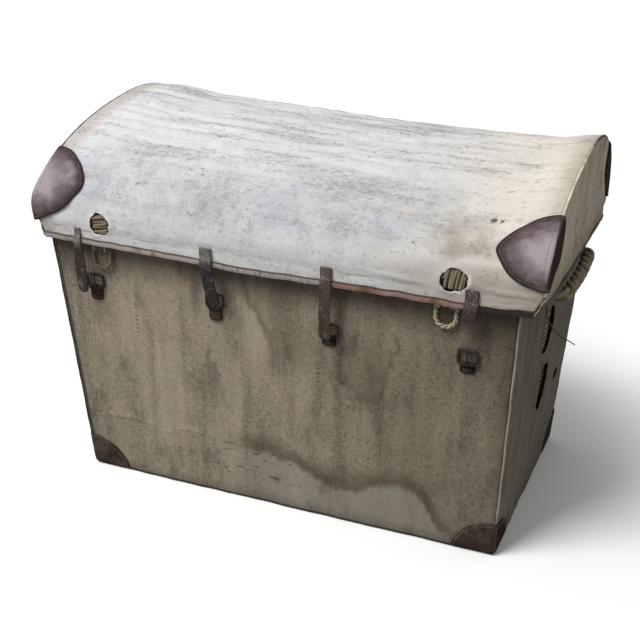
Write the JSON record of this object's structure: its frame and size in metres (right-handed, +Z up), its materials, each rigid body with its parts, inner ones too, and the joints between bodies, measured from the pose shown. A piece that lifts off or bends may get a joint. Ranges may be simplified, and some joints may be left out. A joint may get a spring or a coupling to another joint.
{
  "type": "wicker trunk",
  "caption": "Dome-topped wicker trunk in a canvas cover, with leather corners, buckled straps, willow hasps and rope handles.",
  "frame": {"origin": "on the floor under the middle of the trunk's box", "axes": "+X along the length toward the right end, -Y toward the front with the straps, +Z up"},
  "size_m": [0.9912, 0.5688, 0.6939],
  "materials": {
    "willow": "aged bare willow, woven",
    "cover_canvas": "stained brown canvas",
    "lid_canvas": "faded pale canvas",
    "leather": "worn dark leather",
    "binding_leather": "dry tan leather",
    "iron": "rusted black iron wire",
    "rope": "twisted hemp rope"
  },
  "bodies": {
    "trunk_body": {"wicker_base": "willow", "wicker_front_wall": "willow", "wicker_back_wall": "willow", "wicker_left_wall": "willow", "wicker_right_wall": "willow", "body_border": "willow", "canvas_front": "cover_canvas", "canvas_back": "cover_canvas", "canvas_left": "cover_canvas", "canvas_right": "cover_canvas", "canvas_bottom": "cover_canvas", "foot_corner_front_left": "leather", "foot_corner_front_right": "leather", "foot_corner_back_left": "leather", "foot_corner_back_right": "leather", "hinge_left_lower": "leather", "hinge_right_lower": "leather", "buckle_1_chape": "leather", "buckle_2_chape": "leather", "buckle_3_chape": "leather", "buckle_4_chape": "leather", "handle_left_inside": "rope", "handle_right_inside": "rope", "loose_willow_end": "willow"},
    "lid": {"lid_wicker_dome": "willow", "lid_wicker_end_left": "willow", "lid_wicker_end_right": "willow", "lid_border": "willow", "lid_canvas_top": "lid_canvas", "lid_canvas_end_left": "lid_canvas", "lid_canvas_end_right": "lid_canvas", "lid_skirt_front": "lid_canvas", "lid_skirt_left": "lid_canvas", "lid_skirt_right": "lid_canvas", "lid_binding": "binding_leather", "lid_corner_front_left": "leather", "lid_corner_front_right": "leather", "lid_corner_back_left": "leather", "lid_corner_back_right": "leather", "hinge_left_upper": "leather", "hinge_right_upper": "leather", "hasp_left_lashing": "willow", "hasp_right_lashing": "willow"},
    "strap_1": {"strap_1": "leather"},
    "strap_2": {"strap_2": "leather"},
    "strap_3": {"strap_3": "leather"},
    "strap_4": {"strap_4": "leather"},
    "buckle_1_frame": {"buckle_1_frame": "iron"},
    "buckle_1_prong": {"buckle_1_prong": "iron"},
    "buckle_2_frame": {"buckle_2_frame": "iron"},
    "buckle_2_prong": {"buckle_2_prong": "iron"},
    "buckle_3_frame": {"buckle_3_frame": "iron"},
    "buckle_3_prong": {"buckle_3_prong": "iron"},
    "buckle_4_frame": {"buckle_4_frame": "iron"},
    "buckle_4_prong": {"buckle_4_prong": "iron"},
    "hasp_left_loop": {"hasp_left_loop": "willow"},
    "hasp_right_loop": {"hasp_right_loop": "willow"},
    "handle_left_rope": {"handle_left_rope": "rope"},
    "handle_right_rope": {"handle_right_rope": "rope"}
  },
  "joints": [
    {"name": "lid_hinge", "type": "hinge", "parent": "trunk_body", "child": "lid", "pos_m": [0, 0.28455, 0.52015], "axis": [-1, 0, 0], "range_deg": [0, 110]},
    {"name": "strap_1_swing", "type": "hinge", "parent": "lid", "child": "strap_1", "pos_m": [-0.38, -0.2806, 0.514], "axis": [-1, 0, 0], "range_deg": [0, 85]},
    {"name": "strap_2_swing", "type": "hinge", "parent": "lid", "child": "strap_2", "pos_m": [-0.1245, -0.2806, 0.514], "axis": [-1, 0, 0], "range_deg": [0, 85]},
    {"name": "strap_3_swing", "type": "hinge", "parent": "lid", "child": "strap_3", "pos_m": [0.0985, -0.2806, 0.514], "axis": [-1, 0, 0], "range_deg": [0, 85]},
    {"name": "strap_4_swing", "type": "hinge", "parent": "lid", "child": "strap_4", "pos_m": [0.346, -0.2806, 0.514], "axis": [-1, 0, 0], "range_deg": [0, 85]},
    {"name": "buckle_1_frame_swing", "type": "hinge", "parent": "trunk_body", "child": "buckle_1_frame", "pos_m": [-0.3638, -0.25641, 0.39466], "axis": [1, 0, 0], "range_deg": [0, 15]},
    {"name": "buckle_1_prong_swing", "type": "hinge", "parent": "buckle_1_frame", "child": "buckle_1_prong", "pos_m": [-0.3638, -0.25641, 0.39466], "axis": [1, 0, 0], "range_deg": [0, 15]},
    {"name": "buckle_2_frame_swing", "type": "hinge", "parent": "trunk_body", "child": "buckle_2_frame", "pos_m": [-0.1202, -0.25647, 0.39566], "axis": [1, 0, 0], "range_deg": [0, 15]},
    {"name": "buckle_2_prong_swing", "type": "hinge", "parent": "buckle_2_frame", "child": "buckle_2_prong", "pos_m": [-0.1202, -0.25647, 0.39566], "axis": [1, 0, 0], "range_deg": [0, 15]},
    {"name": "buckle_3_frame_swing", "type": "hinge", "parent": "trunk_body", "child": "buckle_3_frame", "pos_m": [0.0958, -0.25533, 0.37766], "axis": [1, 0, 0], "range_deg": [0, 15]},
    {"name": "buckle_3_prong_swing", "type": "hinge", "parent": "buckle_3_frame", "child": "buckle_3_prong", "pos_m": [0.0958, -0.25533, 0.37766], "axis": [1, 0, 0], "range_deg": [0, 15]},
    {"name": "buckle_4_frame_swing", "type": "hinge", "parent": "trunk_body", "child": "buckle_4_frame", "pos_m": [0.3406, -0.25507, 0.37366], "axis": [1, 0, 0], "range_deg": [0, 70]},
    {"name": "buckle_4_prong_swing", "type": "hinge", "parent": "buckle_4_frame", "child": "buckle_4_prong", "pos_m": [0.3406, -0.25507, 0.37366], "axis": [1, 0, 0], "range_deg": [0, 55]},
    {"name": "hasp_left_swing", "type": "hinge", "parent": "lid", "child": "hasp_left_loop", "pos_m": [-0.343, -0.26595, 0.4767], "axis": [-1, 0, 0], "range_deg": [0, 88]},
    {"name": "hasp_right_swing", "type": "hinge", "parent": "lid", "child": "hasp_right_loop", "pos_m": [0.301, -0.26595, 0.4767], "axis": [-1, 0, 0], "range_deg": [0, 88]},
    {"name": "handle_left_swing", "type": "hinge", "parent": "trunk_body", "child": "handle_left_rope", "pos_m": [-0.4486, 0.01095, 0.4617], "axis": [0, 1, 0], "range_deg": [-80, 20]},
    {"name": "handle_right_swing", "type": "hinge", "parent": "trunk_body", "child": "handle_right_rope", "pos_m": [0.4486, 0.01095, 0.4617], "axis": [0, -1, 0], "range_deg": [-80, 20]}
  ]
}
